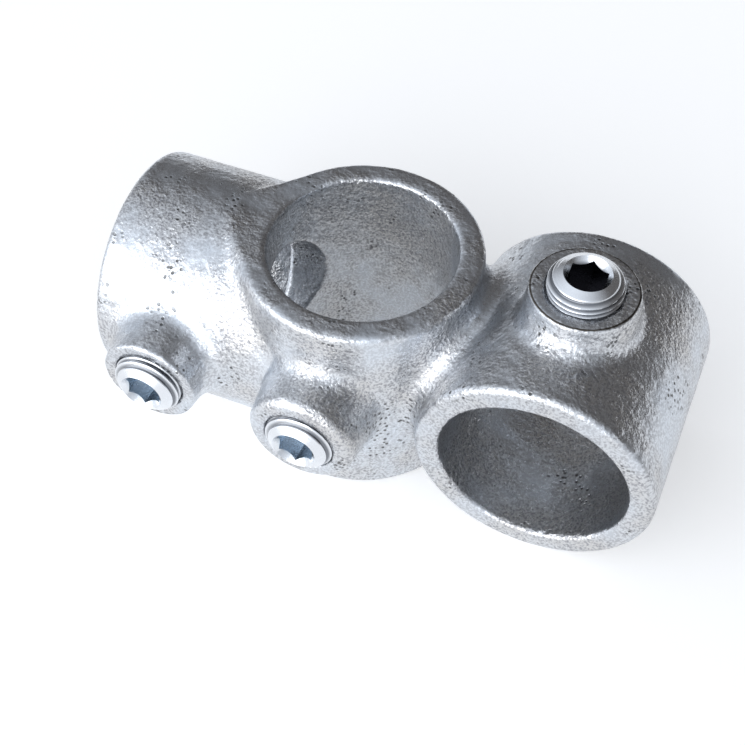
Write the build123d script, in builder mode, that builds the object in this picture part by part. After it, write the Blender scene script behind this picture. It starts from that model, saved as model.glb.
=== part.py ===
"""Tube clamp fitting for 42.4 mm tube: a through socket, a side tee socket and a crossover socket.

One galvanised malleable-iron casting holds three tubes at right angles to each other. The upright tube
passes through the collar, a second tube ends in the tee socket beside it, and a third tube crosses the
upright one in the crossover socket. Each socket has a tapped boss, and a set screw with a hexagon
socket in its outer end presses the tube against the opposite wall.

Frame: the origin is where the axes of the through socket and the tee socket meet. +Z is the through
socket's axis, -X points out of the tee socket, and the crossover socket's axis runs along Y.
All sizes are in millimetres and all angles in degrees.
"""

import os
from math import radians, sqrt, tan

from build123d import *

# Sockets
tube_diameter = 42.4
socket_clearance = 0.5
wall = 6.0
collar_extra_wall = 0.1
collar_height = 53.8
crossover_front = 26.6  # from the through socket's axis to the crossover socket's end at -Y
crossover_back = 24.2  # and to its end at +Y
tee_reach = 57.6  # from the through socket's axis to the mouth of the tee socket
web_between_bores = 7.4  # metal between the through bore and the crossover bore

# The stop inside the tee socket
stop_thickness = 5.0
stop_opening_diameter = 30.0

# Rounded corners of the casting
tee_fillet = 5.0
crossover_fillet = 3.6
rim_fillet = 1.7
mouth_fillet = 1.1
rim_above_tee = 0.3
stop_fillet = 1.5

# Tapped bosses
tee_boss_face_diameter = 23.2
through_boss_face_diameter = 25.4
crossover_boss_face_diameter = 24.0
tee_boss_height = 7.9
through_boss_height = 10.1
crossover_boss_height = 6.8
boss_draft = 6.0
boss_fillet = 5.5
fillet_share_of_height = 0.97
boss_edge_fillet = 0.6
through_boss_edge_fillet = 2.8
boss_sink = 0.15
boss_margin = 1.0
tee_boss_from_mouth = 18.3

# Set screws
thread_diameter = 16.66
thread_clearance = 0.07
screw_length = 16.0
hexagon_across_flats = 8.0
hexagon_depth = 6.5
hexagon_countersink = 0.7
nose_face_diameter = 12.0
nose_length = 3.0
cup_diameter = 9.0
cup_depth = 1.8
tip_chamfer = 1.2
tee_screw_stands_out = 3.5
through_screw_stands_out = 2.5
crossover_screw_stands_out = 4.5

# Sizes that follow from those above
bore_radius = tube_diameter / 2 + socket_clearance
socket_radius = bore_radius + wall
collar_radius = socket_radius + collar_extra_wall
rim_height = collar_height / 2
crossover_x = 2 * bore_radius + web_between_bores
stop_x = -(bore_radius + stop_thickness)
tee_boss_face = socket_radius + tee_boss_height
through_boss_face = socket_radius + through_boss_height
crossover_boss_face = socket_radius + crossover_boss_height
tee_boss_x = tee_boss_from_mouth - tee_reach
thread_radius = thread_diameter / 2
tapped_radius = thread_radius + thread_clearance
overlength = 2 * tee_reach
match_tolerance = 0.01  # for finding edges by their radius or position
end_cut_x = crossover_x - socket_radius - crossover_fillet

# Where the tee socket's crest is higher than the collar, the rim rises on an arc to run out just above the crest.
rise = socket_radius + rim_above_tee - rim_height
rise_start_x = -(bore_radius + collar_radius) / 2
rise_end_x = -(collar_radius + tee_fillet)
rim_cut_start_x = rise_end_x - tee_fillet / 3
rim_cut_end_x = collar_radius + crossover_fillet

# Each boss is drawn on its own plane: the origin is on the boss's face and +Z points out of the tapped hole.
tee_boss = Plane(origin=(tee_boss_x, -tee_boss_face, 0), x_dir=(1, 0, 0), z_dir=(0, -1, 0))
through_boss = Plane(origin=(0, -through_boss_face, 0), x_dir=(1, 0, 0), z_dir=(0, -1, 0))
crossover_boss = Plane(origin=(crossover_x, 0, crossover_boss_face), x_dir=(1, 0, 0), z_dir=(0, 0, 1))

os.makedirs("parts", exist_ok=True)


def curved(edges):
    """The edges where two round surfaces run into each other."""
    return edges.filter_by(GeomType.BSPLINE)


def rim_height_at(x):
    """Height of the collar's rim where it rises towards the tee socket."""
    arc_radius = ((rise_end_x - rise_start_x) ** 2 + rise**2) / (2 * rise)
    return rim_height + arc_radius - sqrt(arc_radius**2 - (x - rise_start_x) ** 2)


def collar_rims(part):
    """The outer edges of the collar's two rims, in a part whose rims have just been cut."""
    curves = part.edges(Select.LAST).filter_by(GeomType.LINE, reverse=True)
    return curves.filter_by(lambda edge: abs((edge @ 0.5).Z) > rim_height - match_tolerance)


def add_boss(place, face_diameter, height):
    """Add a boss that widens from its face towards its socket."""
    with BuildSketch(place) as face:
        Circle(face_diameter / 2)
    extrude(face.sketch, amount=-2 * height, taper=-boss_draft)


def foot_fillet(height):
    """Radius of the fillet round the foot of a boss."""
    return min(boss_fillet, fillet_share_of_height * height)


def boss_reach(face_diameter, height):
    """Half the length of socket that a boss and the fillet round its foot stand on."""
    foot_radius = face_diameter / 2 + height * tan(radians(boss_draft))
    return foot_radius + foot_fillet(height) + boss_margin


def circles(edges, radius):
    """The circular edges of one radius."""
    return edges.filter_by(GeomType.CIRCLE).filter_by(lambda edge: abs(edge.radius - radius) < match_tolerance)


# The waste above and below the collar's rims, which are flat round the bore.
with BuildPart() as rim_waste:
    with BuildSketch(Plane.XZ):
        with BuildLine():
            flat = Line((rim_cut_end_x, rim_height), (rise_start_x, rim_height))
            if rise > 0:
                middle_x = (rise_start_x + rim_cut_start_x) / 2
                top = ThreePointArc(
                    flat @ 1,
                    (middle_x, rim_height_at(middle_x)),
                    (rim_cut_start_x, rim_height_at(rim_cut_start_x)),
                )
            else:
                top = Line(flat @ 1, (rim_cut_start_x, rim_height))
            Polyline(top @ 1, (rim_cut_start_x, overlength), (rim_cut_end_x, overlength), flat @ 0)
        make_face()
        mirror(about=Plane.XZ)
    extrude(amount=2 * collar_radius, both=True)

# The collar and the tee socket are first made overlong, so that the fillet between them is a closed loop.
with BuildPart() as collar_and_tee:
    with BuildSketch():
        Circle(collar_radius)
    extrude(amount=overlength, both=True)
    with BuildSketch(Plane.YZ):
        Circle(socket_radius)
    extrude(amount=-overlength)
    fillet(curved(collar_and_tee.edges()), tee_fillet)
    add_boss(tee_boss, tee_boss_face_diameter, tee_boss_height)
    fillet(curved(collar_and_tee.edges(Select.LAST)), foot_fillet(tee_boss_height))
    add(rim_waste.part, mode=Mode.SUBTRACT)
    fillet(collar_rims(collar_and_tee), rim_fillet)
    split(bisect_by=Plane.YZ.offset(-tee_reach), keep=Keep.TOP)
    fillet(collar_and_tee.faces().sort_by(Axis.X)[0].edges(), rim_fillet)
    split(bisect_by=Plane.YZ, keep=Keep.BOTTOM)

# The crossover socket lies beside the collar and shares a part of its wall.
with BuildPart() as collar_and_crossover:
    with BuildSketch():
        Circle(collar_radius)
    extrude(amount=overlength, both=True)
    with BuildSketch(Plane.XZ):
        with Locations((crossover_x, 0)):
            Circle(socket_radius)
    extrude(amount=overlength, both=True)
    fillet(curved(collar_and_crossover.edges()), crossover_fillet)
    add(rim_waste.part, mode=Mode.SUBTRACT)
    fillet(collar_rims(collar_and_crossover), rim_fillet)
    for end_y, side in ((-crossover_front, Align.MAX), (crossover_back, Align.MIN)):
        with BuildSketch():
            with Locations((end_cut_x, end_y)):
                Rectangle(overlength, overlength, align=(Align.MIN, side))
        extrude(amount=overlength, both=True, mode=Mode.SUBTRACT)
        end_edges = collar_and_crossover.edges(Select.LAST).filter_by(GeomType.LINE, reverse=True)
        fillet(end_edges.filter_by(lambda edge: abs((edge @ 0.5).Y - end_y) < match_tolerance), rim_fillet)
    split(bisect_by=Plane.YZ, keep=Keep.TOP)

# The other two bosses stand on short lengths of their sockets, sunk a little below the outer surface.
with BuildPart() as bossed_collar:
    with BuildSketch():
        Circle(collar_radius - boss_sink)
    extrude(amount=boss_reach(through_boss_face_diameter, through_boss_height), both=True)
    add_boss(through_boss, through_boss_face_diameter, through_boss_height)
    fillet(curved(bossed_collar.edges()), foot_fillet(through_boss_height))
    fillet(circles(bossed_collar.edges(), through_boss_face_diameter / 2), through_boss_edge_fillet)

with BuildPart() as bossed_crossover:
    with BuildSketch(Plane.XZ):
        with Locations((crossover_x, 0)):
            Circle(socket_radius - boss_sink)
    extrude(amount=boss_reach(crossover_boss_face_diameter, crossover_boss_height), both=True)
    add_boss(crossover_boss, crossover_boss_face_diameter, crossover_boss_height)
    fillet(curved(bossed_crossover.edges()), foot_fillet(crossover_boss_height))

with BuildPart() as casting:
    add(collar_and_tee.part)
    add(collar_and_crossover.part)
    add(bossed_collar.part)
    add(bossed_crossover.part)

    # Bores, each with its seam opposite its set screw. The tee bore ends at a stop, whose round opening
    # leads on to the through bore.
    with Locations(Plane(origin=(0, 0, 0), x_dir=(0, -1, 0), z_dir=(0, 0, 1))):
        Hole(bore_radius)
    with Locations(Plane(origin=(crossover_x, 0, 0), z_dir=(0, 1, 0))):
        Hole(bore_radius)
    with Locations(Plane(origin=(-tee_reach, 0, 0), z_dir=(-1, 0, 0))):
        Hole(bore_radius, depth=tee_reach + stop_x)
        Hole(stop_opening_diameter / 2, depth=tee_reach)
    bore_ends = circles(casting.edges(), bore_radius)
    fillet([edge for edge in bore_ends if abs(edge.arc_center.X - stop_x) > mouth_fillet], mouth_fillet)
    fillet(circles(casting.edges(), stop_opening_diameter / 2), stop_fillet)

    # Tapped holes. Their threads are left out, so each is as wide as a thread turning in it needs.
    fillet(circles(casting.edges(), tee_boss_face_diameter / 2), boss_edge_fillet)
    fillet(circles(casting.edges(), crossover_boss_face_diameter / 2), boss_edge_fillet)
    with Locations(tee_boss, through_boss, crossover_boss):
        Hole(tapped_radius, depth=through_boss_face)
casting.part.label = "casting"
export_step(casting.part, "parts/casting.step")


# One set screw, with its outer end on the XY plane and its cup point below. Its thread is left out.
with BuildPart() as set_screw:
    with BuildSketch(Plane.XZ):
        with BuildLine():
            countersink_radius = hexagon_across_flats / 2 + hexagon_countersink
            Polyline(
                (0, -hexagon_countersink),
                (hexagon_across_flats / 2, -hexagon_countersink),
                (countersink_radius, 0),
                (nose_face_diameter / 2, 0),
                (thread_radius, -nose_length),
                (thread_radius, tip_chamfer - screw_length),
                (thread_radius - tip_chamfer, -screw_length),
                (cup_diameter / 2, -screw_length),
                (0, cup_depth - screw_length),
                close=True,
            )
        make_face()
    revolve(axis=Axis.Z)
    with BuildSketch():
        RegularPolygon(hexagon_across_flats / 2, 6, major_radius=False)
    extrude(amount=-hexagon_depth, mode=Mode.SUBTRACT)

screw_places = {
    "tee_set_screw": tee_boss.offset(tee_screw_stands_out),
    "through_set_screw": through_boss.offset(through_screw_stands_out),
    "crossover_set_screw": crossover_boss.offset(crossover_screw_stands_out),
}
for name, place in screw_places.items():
    with BuildPart() as placed_screw:
        with Locations(place):
            add(set_screw.part)
    placed_screw.part.label = name
    export_step(placed_screw.part, f"parts/{name}.step")
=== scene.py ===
# %% [markdown]
# # A galvanised tube clamp fitting
#
# The fitting is one iron casting with three sockets, dipped in molten zinc, and three plated set screws.
# The solids already have the right shape and size, and here they get the surface that makes them look
# real: a rough zinc skin with pits and specks on the casting, and cut threads and turning marks on the
# screws. All lengths are in metres, and the frame is the one that the solids came in.

# %% Load the solids
import math

import bmesh
import bpy
from mathutils import Matrix, Vector, noise


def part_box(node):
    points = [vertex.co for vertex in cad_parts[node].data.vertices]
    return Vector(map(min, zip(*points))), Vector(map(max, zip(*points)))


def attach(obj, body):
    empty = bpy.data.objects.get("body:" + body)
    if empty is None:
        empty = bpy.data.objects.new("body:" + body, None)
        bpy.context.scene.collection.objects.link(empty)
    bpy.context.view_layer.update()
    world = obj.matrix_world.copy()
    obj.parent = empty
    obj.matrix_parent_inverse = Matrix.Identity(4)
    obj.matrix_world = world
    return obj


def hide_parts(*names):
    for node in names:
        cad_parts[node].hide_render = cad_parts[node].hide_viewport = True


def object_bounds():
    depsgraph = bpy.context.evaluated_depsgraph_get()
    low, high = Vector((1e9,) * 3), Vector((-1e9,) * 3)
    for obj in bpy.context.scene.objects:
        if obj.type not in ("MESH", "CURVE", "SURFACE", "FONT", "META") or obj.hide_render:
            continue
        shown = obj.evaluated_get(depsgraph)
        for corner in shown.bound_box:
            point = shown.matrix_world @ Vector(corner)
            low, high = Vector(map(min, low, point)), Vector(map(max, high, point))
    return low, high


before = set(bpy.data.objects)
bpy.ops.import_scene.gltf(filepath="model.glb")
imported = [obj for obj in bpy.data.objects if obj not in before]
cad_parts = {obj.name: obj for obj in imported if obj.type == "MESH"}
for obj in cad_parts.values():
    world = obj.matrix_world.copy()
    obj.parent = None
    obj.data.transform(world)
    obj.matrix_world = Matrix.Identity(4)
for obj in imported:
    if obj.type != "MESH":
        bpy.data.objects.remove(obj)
solid_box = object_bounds()
scene = bpy.context.scene
MM = 0.001
print("solids:", sorted(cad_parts))

# %% [markdown]
# ## The camera
#
# A camera that looks down at the fitting from its front right shows all three sockets and all three screws.
# The lens is a little longer than a normal one. The shift slides the picture without turning the camera.

# %% Camera
camera_data = bpy.data.cameras.new("camera")
camera_data.sensor_width = 36
camera_data.lens = 62.957
camera_data.shift_x = 0.0353
camera_data.shift_y = -0.0104
camera_data.clip_start = 0.01
camera_data.clip_end = 20
camera = bpy.data.objects.new("camera", camera_data)
camera.location = (0.079738, -0.188240, 0.238162)
camera.rotation_euler = [math.radians(a) for a in (38.868, 0.728, 23.244)]
scene.collection.objects.link(camera)
scene.camera = camera
print("camera:", round(camera_data.lens), "mm lens")

# %% [markdown]
# ## Helpers for materials
#
# Every finish here is a metal, and each one is built from patterns that follow the object's own
# coordinates, so the pattern stays on the surface from every side. Each helper adds one node and gives
# back the socket that holds its result, so that a finish reads from top to bottom like a recipe.


# %% Material helpers
def new_metal(name):
    """A metal material, its nodes, its links and its shader."""
    material = bpy.data.materials.new(name)
    material.use_nodes = True
    nodes, links = material.node_tree.nodes, material.node_tree.links
    shader = nodes["Principled BSDF"]
    shader.inputs["Metallic"].default_value = 1.0
    return material, nodes, links, shader


def noise_pattern(nodes, links, place, size, detail=2.0, roughness=0.5):
    """A soft random pattern whose blobs are about one size across, in metres."""
    texture = nodes.new("ShaderNodeTexNoise")
    texture.inputs["Scale"].default_value = 1 / size
    texture.inputs["Detail"].default_value = detail
    texture.inputs["Roughness"].default_value = roughness
    links.new(place, texture.inputs["Vector"])
    return texture.outputs["Fac"]


def remap(nodes, links, value, low, high, to_low=0.0, to_high=1.0):
    """The value stretched so that low becomes to_low and high becomes to_high."""
    node = nodes.new("ShaderNodeMapRange")
    node.inputs["From Min"].default_value = low
    node.inputs["From Max"].default_value = high
    node.inputs["To Min"].default_value = to_low
    node.inputs["To Max"].default_value = to_high
    links.new(value, node.inputs["Value"])
    return node.outputs["Result"]


def combine(nodes, links, operation, first, second=None):
    """One math operation on a socket alone, on two sockets, or on a socket and a number."""
    node = nodes.new("ShaderNodeMath")
    node.operation = operation
    links.new(first, node.inputs[0])
    if isinstance(second, (int, float)):
        node.inputs[1].default_value = second
    elif second is not None:
        links.new(second, node.inputs[1])
    return node.outputs[0]


def measure(nodes, links, operation, place, point=None):
    """One vector operation that gives a number, such as the distance from a point."""
    node = nodes.new("ShaderNodeVectorMath")
    node.operation = operation
    links.new(place, node.inputs[0])
    if point is not None:
        node.inputs[1].default_value = point
    return node.outputs["Value"]


# %% Helpers for colour and relief
def blend_colours(nodes, links, share, first, second):
    """A mix of two colours, each a socket or three numbers. A share of 0 gives the first."""
    node = nodes.new("ShaderNodeMix")
    node.data_type = "RGBA"
    links.new(share, node.inputs["Factor"])
    for name, colour in (("A", first), ("B", second)):
        socket = [s for s in node.inputs if s.name == name and s.type == "RGBA"][0]
        if isinstance(colour, tuple):
            socket.default_value = (*colour, 1)
        else:
            links.new(colour, socket)
    return [s for s in node.outputs if s.type == "RGBA"][0]


def bump(nodes, links, height, depth, below=None):
    """A bump from a height pattern between 0 and 1, whose full depth is given in metres."""
    node = nodes.new("ShaderNodeBump")
    node.inputs["Strength"].default_value = 1.0
    node.inputs["Distance"].default_value = depth
    links.new(height, node.inputs["Height"])
    if below is not None:
        links.new(below, node.inputs["Normal"])
    return node.outputs["Normal"]


# %% [markdown]
# ## The marks on the casting
#
# The skin has small pits. A cell pattern gives them their spacing, and a slower noise hides most of them,
# so that they lie in scattered spots. One more spot is placed on the front of the collar. A thin dark ring
# of painted shade is drawn round the edge of the face of the boss on top of the crossover socket.

# %% Pits and the painted shade round the boss face
PIT_SPACING = 1.3 * MM
PITTED_AREA = 9 * MM
PITTED_SPOT = (0.014, -0.026, -0.006)
SPOT_EDGE = 16 * MM
SPOT_CORE = 8 * MM
EDGE_SHADE_RADIUS = 11.6 * MM
EDGE_DARK = 0.12 * MM
EDGE_CLEAR = 0.30 * MM
screw_low, screw_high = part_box("crossover_set_screw")
BOSS_FACE_CENTRE = (
    (screw_low.x + screw_high.x) / 2,
    (screw_low.y + screw_high.y) / 2,
    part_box("casting")[1].z,
)
print("faced boss at", [round(v / MM, 1) for v in BOSS_FACE_CENTRE], "mm")


def pit_pattern(nodes, links, place):
    """0 in a pit and 1 elsewhere."""
    cells = nodes.new("ShaderNodeTexVoronoi")
    cells.inputs["Scale"].default_value = 1 / PIT_SPACING
    links.new(place, cells.inputs["Vector"])
    pits = remap(nodes, links, cells.outputs["Distance"], 0.20, 0.36)
    area = noise_pattern(nodes, links, place, PITTED_AREA)
    from_spot = measure(nodes, links, "DISTANCE", place, PITTED_SPOT)
    spot = remap(nodes, links, from_spot, SPOT_EDGE, SPOT_CORE, 0.0, 0.20)
    hidden = remap(nodes, links, combine(nodes, links, "ADD", area, spot), 0.58, 0.66, 1.0, 0.0)
    return combine(nodes, links, "MAXIMUM", pits, hidden)


def painted_edge_shade(nodes, links, place):
    """0 on the thin ring of painted shade round the edge of the boss face and 1 elsewhere."""
    from_middle = measure(nodes, links, "DISTANCE", place, BOSS_FACE_CENTRE)
    from_edge = combine(nodes, links, "SUBTRACT", from_middle, EDGE_SHADE_RADIUS)
    return remap(nodes, links, combine(nodes, links, "ABSOLUTE", from_edge), EDGE_DARK, EDGE_CLEAR)


# %% [markdown]
# ## The zinc skin
#
# Molten zinc freezes in a skin with faint grey patches, a fine grain and dark specks. Four bumps of
# different sizes make the relief: lumps, grain, specks and pits. The slow pattern of the patches also
# decides where the skin is smooth and where it is coarse, because an even grain looks like plastic.

# %% Galvanised finish
PATCH = 14 * MM
LUMP = 3.5 * MM
GRAIN = 1.1 * MM
SPECK = 0.6 * MM
BRIGHT_ZINC = (0.68, 0.72, 0.77)
GREY_ZINC = (0.64, 0.635, 0.63)
SPECK_COLOUR = (0.36, 0.36, 0.38)
PIT_COLOUR = (0.14, 0.14, 0.14)
# Painted shade: the near-black ring round the edge of the boss face.
EDGE_SHADE_COLOUR = (0.08, 0.07, 0.06)
LUMP_RELIEF = 0.22 * MM
GRAIN_RELIEF = 0.34 * MM
SPECK_RELIEF = 0.09 * MM
PIT_RELIEF = 0.12 * MM


def zinc_colour(nodes, links, patches, specks, pits, edge):
    """Zinc in two greys, with specks in the coarse patches, dark pits and the painted shade round the boss
    face.
    """
    colour = blend_colours(nodes, links, remap(nodes, links, patches, 0.35, 0.65), BRIGHT_ZINC, GREY_ZINC)
    smooth = remap(nodes, links, patches, 0.40, 0.58, 0.7, 0.0)
    clear = combine(nodes, links, "MAXIMUM", remap(nodes, links, specks, 0.34, 0.54), smooth)
    colour = blend_colours(nodes, links, clear, SPECK_COLOUR, colour)
    colour = blend_colours(nodes, links, pits, PIT_COLOUR, colour)
    return blend_colours(nodes, links, edge, EDGE_SHADE_COLOUR, colour)


def galvanised_finish():
    """Rough zinc that was dipped on, with the marks that dipping leaves and a ring of painted shade round
    the boss face.
    """
    material, nodes, links, shader = new_metal("galvanised_zinc")
    place = nodes.new("ShaderNodeTexCoord").outputs["Object"]
    patches = noise_pattern(nodes, links, place, PATCH, detail=4.0)
    lumps = noise_pattern(nodes, links, place, LUMP)
    grain = noise_pattern(nodes, links, place, GRAIN, roughness=0.6)
    specks = noise_pattern(nodes, links, place, SPECK, detail=1.0)
    pits = pit_pattern(nodes, links, place)
    # The edge mask is a ring of painted shade round the boss face.
    edge = painted_edge_shade(nodes, links, place)

    links.new(zinc_colour(nodes, links, patches, specks, pits, edge), shader.inputs["Base Color"])
    links.new(remap(nodes, links, specks, 0.3, 0.7, 0.40, 0.26), shader.inputs["Roughness"])

    coarse = remap(nodes, links, patches, 0.40, 0.62, 0.25, 1.0)
    relief = bump(nodes, links, lumps, LUMP_RELIEF)
    relief = bump(nodes, links, combine(nodes, links, "MULTIPLY", grain, coarse), GRAIN_RELIEF, relief)
    relief = bump(nodes, links, combine(nodes, links, "MULTIPLY", specks, coarse), SPECK_RELIEF, relief)
    relief = bump(nodes, links, pits, PIT_RELIEF, relief)
    links.new(relief, shader.inputs["Normal"])
    return material


zinc = galvanised_finish()
print("material:", zinc.name)

# %% [markdown]
# ## The casting's surface
#
# A casting is never quite smooth. The solid is rebuilt as an even net of small squares, pulled back onto
# the true surface, and then sunk by a few hundredths of a millimetre of noise, at most 0.12 mm. The noise
# sinks nearly every point, so the casting keeps its real size: fewer than one point in a thousand stands
# out from the true surface, and by less than 0.02 mm.


# %% Helpers for the casting's net
def merged_copy(solid, name):
    """A copy of a solid's mesh with its loose triangles joined up."""
    mesh = solid.data.copy()
    mesh.name = name
    net = bmesh.new()
    net.from_mesh(mesh)
    bmesh.ops.remove_doubles(net, verts=net.verts, dist=0.002 * MM)
    net.to_mesh(mesh)
    net.free()
    mesh.materials.clear()
    piece = bpy.data.objects.new(name, mesh)
    scene.collection.objects.link(piece)
    return piece


def apply_modifiers(piece):
    """Keep the mesh that the modifiers give, and drop the modifiers."""
    bpy.context.view_layer.update()
    shaped = piece.evaluated_get(bpy.context.evaluated_depsgraph_get())
    mesh = bpy.data.meshes.new_from_object(shaped)
    piece.modifiers.clear()
    old, piece.data = piece.data, mesh
    bpy.data.meshes.remove(old)


def sink(net, depth_at):
    """Move each point of a net inwards by the depth that a function gives there."""
    net.normal_update()
    normals = [v.normal.copy() for v in net.verts]
    for vertex, normal in zip(net.verts, normals):
        vertex.co -= normal * depth_at(vertex.co)


def cast_depth(point):
    """How far the cast skin lies below the ideal surface at one point."""
    waves = noise.noise(point / (7 * MM))
    lumps = noise.noise(point / (2.2 * MM) + Vector((5, 5, 5)))
    patch = min(1.0, max(0.0, 2 * noise.noise(point / (11 * MM) + Vector((9, 2, 4))) + 0.5))
    return (0.05 + 0.04 * waves + (0.02 + 0.035 * patch) * lumps) * MM


# %% Casting
VOXEL = 0.78 * MM
casting_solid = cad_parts["casting"]
casting = merged_copy(casting_solid, "galvanised_casting")
rebuild = casting.modifiers.new("rebuild", "REMESH")
rebuild.mode = "VOXEL"
rebuild.voxel_size = VOXEL
rebuild.use_smooth_shade = True
onto = casting.modifiers.new("onto", "SHRINKWRAP")
onto.target = casting_solid
onto.wrap_method = "NEAREST_SURFACEPOINT"
apply_modifiers(casting)
net = bmesh.new()
net.from_mesh(casting.data)
sink(net, cast_depth)
net.to_mesh(casting.data)
net.free()
for face in casting.data.polygons:
    face.use_smooth = True
casting.data.materials.append(zinc)
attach(casting, "casting")
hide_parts("casting")
print("casting:", len(casting.data.polygons), "faces")

# %% [markdown]
# ## The set screws
#
# A set screw is a threaded pin with no head. Its outer end is a dome with a countersunk hexagon socket for
# the key, and its tip is a cup whose sharp rim bites into the tube. The thread is a pipe thread, so its
# turns are close together. Heights along a screw count from its outer end.

# %% Screw sizes
PITCH = 1.337 * MM
SCREW_LENGTH = 16.0 * MM
CREST = 8.33 * MM
THREAD_DEPTH = 0.80 * MM
THREAD_START = 0.8 * MM
NOSE_RIM = 5.2 * MM
NOSE_LENGTH = 3.0 * MM
HEX_FLAT = 4.0 * MM
HEX_CORNER = HEX_FLAT / math.cos(math.pi / 6)
HEX_DEPTH = 6.5 * MM
COUNTERSINK = 1.5 * MM
CUP = 4.5 * MM
CUP_DEPTH = 1.8 * MM
TIP_CHAMFER = 1.2 * MM
CHAMFER_ROWS = 8
UNCUT_TIP = 0.5 * MM
ROW = 0.1 * MM
TURNS = 120
print("thread:", round(CREST * 2 / MM, 2), "mm over the crests,", round(PITCH / MM, 3), "mm a turn")

# %% [markdown]
# ## The plated steel
#
# A lathe leaves fine rings round the axis, so the finish is a bright metal with ring-shaped bumps. The
# thread's grooves are painted dark, partly as oil and dust and partly as painted shade. The finish knows a
# groove by its
# depth: how far a point lies inside the line of the crests at its height. The hexagon socket is painted in
# light
# and shade: a lit colour on the front screws, and dark painted shade on the screw that points up.

# %% Turned finish
STEEL = (0.76, 0.78, 0.81)
# The grooves' dark colour is partly oil and dust and partly painted shade.
GROOVE_DIRT_AND_SHADE = (0.20, 0.21, 0.23)
GROOVE_SHALLOW = 0.12 * MM
GROOVE_DARK = 0.5 * MM
GROOVE_INNER = 5.8 * MM
GROOVE_OUTER = 6.2 * MM
SOCKET_INNER = 4.7 * MM
SOCKET_OUTER = 4.9 * MM
MOUTH_TOP = -0.8 * MM
MOUTH_BOTTOM = -1.6 * MM
RING_SIZE = 6.5 * MM
RING_RELIEF = 0.02 * MM
MARK = 0.5 * MM
MARK_RELIEF = 0.01 * MM


def groove_dirt_and_shade(nodes, links, radius, height):
    """1 in the thread's grooves, which take dirt and painted shade, and 0 on its crests, on the rim of the
    nose, and on the tip.
    """
    rise = remap(nodes, links, height, 0, -NOSE_LENGTH, 0, math.pi / 2)
    crest = remap(nodes, links, combine(nodes, links, "SINE", rise), 0, 1, NOSE_RIM, CREST)
    depth = combine(nodes, links, "SUBTRACT", crest, radius)
    groove = remap(nodes, links, depth, GROOVE_SHALLOW, GROOVE_DARK)
    past_rim = remap(nodes, links, radius, GROOVE_INNER, GROOVE_OUTER)
    tip = TIP_CHAMFER - SCREW_LENGTH
    above_tip = remap(nodes, links, height, tip, tip + 0.2 * MM)
    groove = combine(nodes, links, "MULTIPLY", groove, past_rim)
    return combine(nodes, links, "MULTIPLY", groove, above_tip)


def socket_share(nodes, links, radius, height):
    """1 inside the hexagon socket and 0 outside it."""
    near_axis = remap(nodes, links, radius, SOCKET_OUTER, SOCKET_INNER)
    below_mouth = remap(nodes, links, height, MOUTH_TOP, MOUTH_BOTTOM)
    return combine(nodes, links, "MULTIPLY", near_axis, below_mouth)


def ring_pattern(nodes, links, place, axis):
    """Slightly uneven rings round one axis."""
    rings = nodes.new("ShaderNodeTexWave")
    rings.wave_type = "RINGS"
    rings.rings_direction = axis
    rings.inputs["Scale"].default_value = 1 / RING_SIZE
    rings.inputs["Distortion"].default_value = 0.4
    rings.inputs["Detail"].default_value = 2
    links.new(place, rings.inputs["Vector"])
    return rings.outputs["Fac"]


def turned_finish(name, end, outward, socket_colour):
    """Bright plated steel for the screw whose outer end and outward direction are given. Its socket takes
    socket_colour: painted light on the front screws and painted shade on the top one.
    """
    material, nodes, links, shader = new_metal(name)
    mapping = nodes.new("ShaderNodeMapping")
    mapping.inputs["Location"].default_value = -end
    links.new(nodes.new("ShaderNodeTexCoord").outputs["Object"], mapping.inputs["Vector"])
    place = mapping.outputs["Vector"]
    height = measure(nodes, links, "DOT_PRODUCT", place, outward)
    distance = measure(nodes, links, "LENGTH", place)
    squares = [combine(nodes, links, "MULTIPLY", side, side) for side in (distance, height)]
    radius = combine(nodes, links, "SQRT", combine(nodes, links, "SUBTRACT", *squares))

    # The grooves are painted dark: partly dirt, partly painted shade.
    colour = blend_colours(nodes, links, groove_dirt_and_shade(nodes, links, radius, height), STEEL, GROOVE_DIRT_AND_SHADE)
    # The socket colour is painted light on the front screws and painted shade on the top one.
    colour = blend_colours(nodes, links, socket_share(nodes, links, radius, height), colour, socket_colour)
    links.new(colour, shader.inputs["Base Color"])
    marks = noise_pattern(nodes, links, place, MARK, detail=3.0)
    links.new(remap(nodes, links, marks, 0.3, 0.7, 0.16, 0.28), shader.inputs["Roughness"])
    rings = ring_pattern(nodes, links, place, "Z" if outward.z else "Y")
    relief = bump(nodes, links, rings, RING_RELIEF)
    links.new(bump(nodes, links, marks, MARK_RELIEF, relief), shader.inputs["Normal"])
    return material


# %% [markdown]
# ## Cutting a screw
#
# Each screw is made as a lathe makes it. Its outline is spun round its axis, and the thread is then cut by
# sinking every point to the depth that the tool would reach at its angle and height. A thread could also be
# swept along a helix, but then its ends would need patching. The hexagon socket is broached last, with a
# six-sided punch.


# %% Screw shape
def screw_outline():
    """The outline of a screw from its axis at the outer end to its axis at the tip, as (radius, height)."""
    shank_end = TIP_CHAMFER - SCREW_LENGTH
    steps = round(NOSE_LENGTH / ROW)
    nose = [(NOSE_RIM + (CREST - NOSE_RIM) * math.sin(math.pi / 2 * i / steps), -NOSE_LENGTH * i / steps)
            for i in range(steps)]
    rows = round((-NOSE_LENGTH - shank_end) / ROW)
    shank = [(CREST, -NOSE_LENGTH + (shank_end + NOSE_LENGTH) * i / rows) for i in range(rows + 1)]
    chamfer = [(CREST - TIP_CHAMFER * i / CHAMFER_ROWS, shank_end - TIP_CHAMFER * i / CHAMFER_ROWS)
               for i in range(1, CHAMFER_ROWS + 1)]
    return [(0, -COUNTERSINK), (HEX_FLAT, -COUNTERSINK), *nose, *shank, *chamfer,
            (CUP, -SCREW_LENGTH), (0, CUP_DEPTH - SCREW_LENGTH)]


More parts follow.
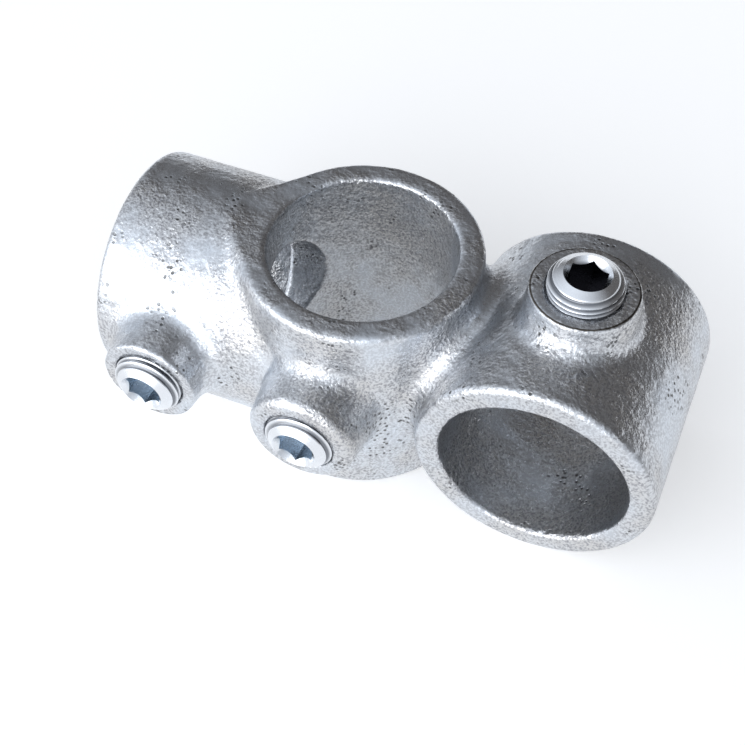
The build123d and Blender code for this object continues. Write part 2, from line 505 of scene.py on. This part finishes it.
def thread_cut(angle, height):
    """How deep the thread cuts at one angle and height. It starts shallow on the nose."""
    turn = (height / PITCH - angle / math.tau) % 1
    start = min(1, max(0, (-height - THREAD_START) / PITCH))
    return start * THREAD_DEPTH * 0.5 * (1 - math.cos(math.tau * turn))


def hexagon_punch():
    """A six-sided punch that reaches as deep as the socket."""
    net = bmesh.new()
    bmesh.ops.create_cone(net, cap_ends=True, segments=6, radius1=HEX_CORNER, radius2=HEX_CORNER,
                          depth=2 * HEX_DEPTH)
    mesh = bpy.data.meshes.new("punch")
    net.to_mesh(mesh)
    net.free()
    punch = bpy.data.objects.new("punch", mesh)
    scene.collection.objects.link(punch)
    return punch


# %% Lathe and punch
def turned_screw(name):
    """A threaded screw with its outer end at height 0 and its tip below, still without its socket."""
    net = bmesh.new()
    points = [net.verts.new((r, 0, z)) for r, z in screw_outline()]
    edges = [net.edges.new(pair) for pair in zip(points, points[1:])]
    bmesh.ops.spin(net, geom=points + edges, cent=(0, 0, 0), axis=(0, 0, 1), dvec=(0, 0, 0),
                   angle=math.tau, steps=TURNS, use_merge=True, use_duplicate=False)
    bmesh.ops.remove_doubles(net, verts=net.verts, dist=0.001 * MM)
    tip_height = UNCUT_TIP - SCREW_LENGTH
    for vertex in net.verts:
        radius = math.hypot(vertex.co.x, vertex.co.y)
        if radius > NOSE_RIM and vertex.co.z > tip_height:
            share = 1 - thread_cut(math.atan2(vertex.co.y, vertex.co.x), vertex.co.z) / radius
            vertex.co.x *= share
            vertex.co.y *= share
    bmesh.ops.recalc_face_normals(net, faces=net.faces)
    mesh = bpy.data.meshes.new(name)
    net.to_mesh(mesh)
    net.free()
    screw = bpy.data.objects.new(name, mesh)
    scene.collection.objects.link(screw)
    return screw


def broach_socket(screw):
    """Punch the hexagon socket into a screw, and keep only its real edges sharp."""
    punch = hexagon_punch()
    socket = screw.modifiers.new("socket", "BOOLEAN")
    socket.operation = "DIFFERENCE"
    socket.solver = "EXACT"
    socket.object = punch
    apply_modifiers(screw)
    bpy.data.objects.remove(punch)
    for face in screw.data.polygons:
        face.use_smooth = True
    screw.data.set_sharp_from_angle(angle=math.radians(35))


# %% The three screws
FRONT = Vector((0, -1, 0))
UP = Vector((0, 0, 1))
# The socket colours are painted light and shade: a lit blue-grey for the sockets that face the front,
# near-black painted shade for the one that points up.
LIT_SOCKET = (0.58, 0.64, 0.70)
SHADED_SOCKET = (0.08, 0.08, 0.09)

for body, outward, socket_colour in (("tee_set_screw", FRONT, LIT_SOCKET),
                                     ("through_set_screw", FRONT, LIT_SOCKET),
                                     ("crossover_set_screw", UP, SHADED_SOCKET)):
    low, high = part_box(body)
    end = (low + high) / 2 + outward * SCREW_LENGTH / 2
    screw = turned_screw(f"threaded_{body}")
    broach_socket(screw)
    turn = outward.to_track_quat("Z", "Y").to_matrix().to_4x4()
    screw.data.transform(Matrix.Translation(end) @ turn)
    screw.data.materials.append(turned_finish(f"turned_{body}", end, outward, socket_colour))
    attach(screw, body)
    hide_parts(body)
    print(screw.name, len(screw.data.polygons), "faces")

# %% [markdown]
# ## The floor
#
# The fitting lies on a plain white floor, which shows its shadow. Bright metal mirrors its surroundings, so
# the floor also glows a little, but only where the camera or a shiny surface sees it.

# %% Floor
FLOOR_REACH = 6
FLOOR_GLOW = 0.36
floor_mesh = bpy.data.meshes.new("floor")
net = bmesh.new()
bmesh.ops.create_grid(net, x_segments=1, y_segments=1, size=FLOOR_REACH)
bmesh.ops.translate(net, verts=net.verts, vec=(0, 0, solid_box[0].z))
net.to_mesh(floor_mesh)
net.free()
floor = bpy.data.objects.new("floor", floor_mesh)
scene.collection.objects.link(floor)

paint = bpy.data.materials.new("floor_paint")
paint.use_nodes = True
nodes, links = paint.node_tree.nodes, paint.node_tree.links
nodes.remove(nodes["Principled BSDF"])
matt = nodes.new("ShaderNodeBsdfDiffuse")
matt.inputs["Color"].default_value = (0.88, 0.88, 0.88, 1)
glow = nodes.new("ShaderNodeEmission")
rays = nodes.new("ShaderNodeLightPath")
seen = combine(nodes, links, "MAXIMUM", rays.outputs["Is Camera Ray"], rays.outputs["Is Glossy Ray"])
seen = combine(nodes, links, "MAXIMUM", seen, rays.outputs["Is Transmission Ray"])
links.new(combine(nodes, links, "MULTIPLY", seen, FLOOR_GLOW), glow.inputs["Strength"])
both = nodes.new("ShaderNodeAddShader")
links.new(matt.outputs[0], both.inputs[0])
links.new(glow.outputs[0], both.inputs[1])
links.new(both.outputs[0], nodes["Material Output"].inputs["Surface"])
floor_mesh.materials.append(paint)
print("floor at", round(solid_box[0].z / MM, 2), "mm")

# %% [markdown]
# ## The room and the lamp
#
# The room is bright in front and dim behind. The dim back gives the tops of the sockets their darker tone,
# and the bright front and one large soft lamp, low in front and to the left, make the near sides shine.

# %% Room
DIM_WALL = (0.135, 0.13, 0.13)
BRIGHT_WALL = (1.06, 1.13, 1.23)
TOWARDS_FRONT = (-0.50, -0.85, 0.15)
DIM_UNTIL = -0.40
BRIGHT_FROM = 0.75
world = bpy.data.worlds.new("room")
world.use_nodes = True
scene.world = world
nodes, links = world.node_tree.nodes, world.node_tree.links
direction = nodes.new("ShaderNodeTexCoord").outputs["Generated"]
front = measure(nodes, links, "DOT_PRODUCT", direction, TOWARDS_FRONT)
share = remap(nodes, links, front, DIM_UNTIL, BRIGHT_FROM)
links.new(blend_colours(nodes, links, share, DIM_WALL, BRIGHT_WALL), nodes["Background"].inputs["Color"])
print("world:", world.name)

# %% Lamp
LAMP_DISTANCE = 1.2
lamp_data = bpy.data.lights.new("front_lamp", "AREA")
lamp_data.shape = "RECTANGLE"
lamp_data.size = 1.8
lamp_data.size_y = 1.0
lamp_data.energy = 10
lamp = bpy.data.objects.new("front_lamp", lamp_data)
towards_lamp = Vector((-0.35, -0.85, 0.36))
lamp.location = towards_lamp.normalized() * LAMP_DISTANCE
lamp.rotation_euler = towards_lamp.to_track_quat("Z", "Y").to_euler()
scene.collection.objects.link(lamp)
print("lamp:", lamp_data.energy, "W")

# %% [markdown]
# ## The record of sizes
#
# The standard view shows colours as they are written. The box of the solids is printed.

scene.view_settings.view_transform = "Standard"
print("solid box", [round(x / MM, 2) for corner in solid_box for x in corner])
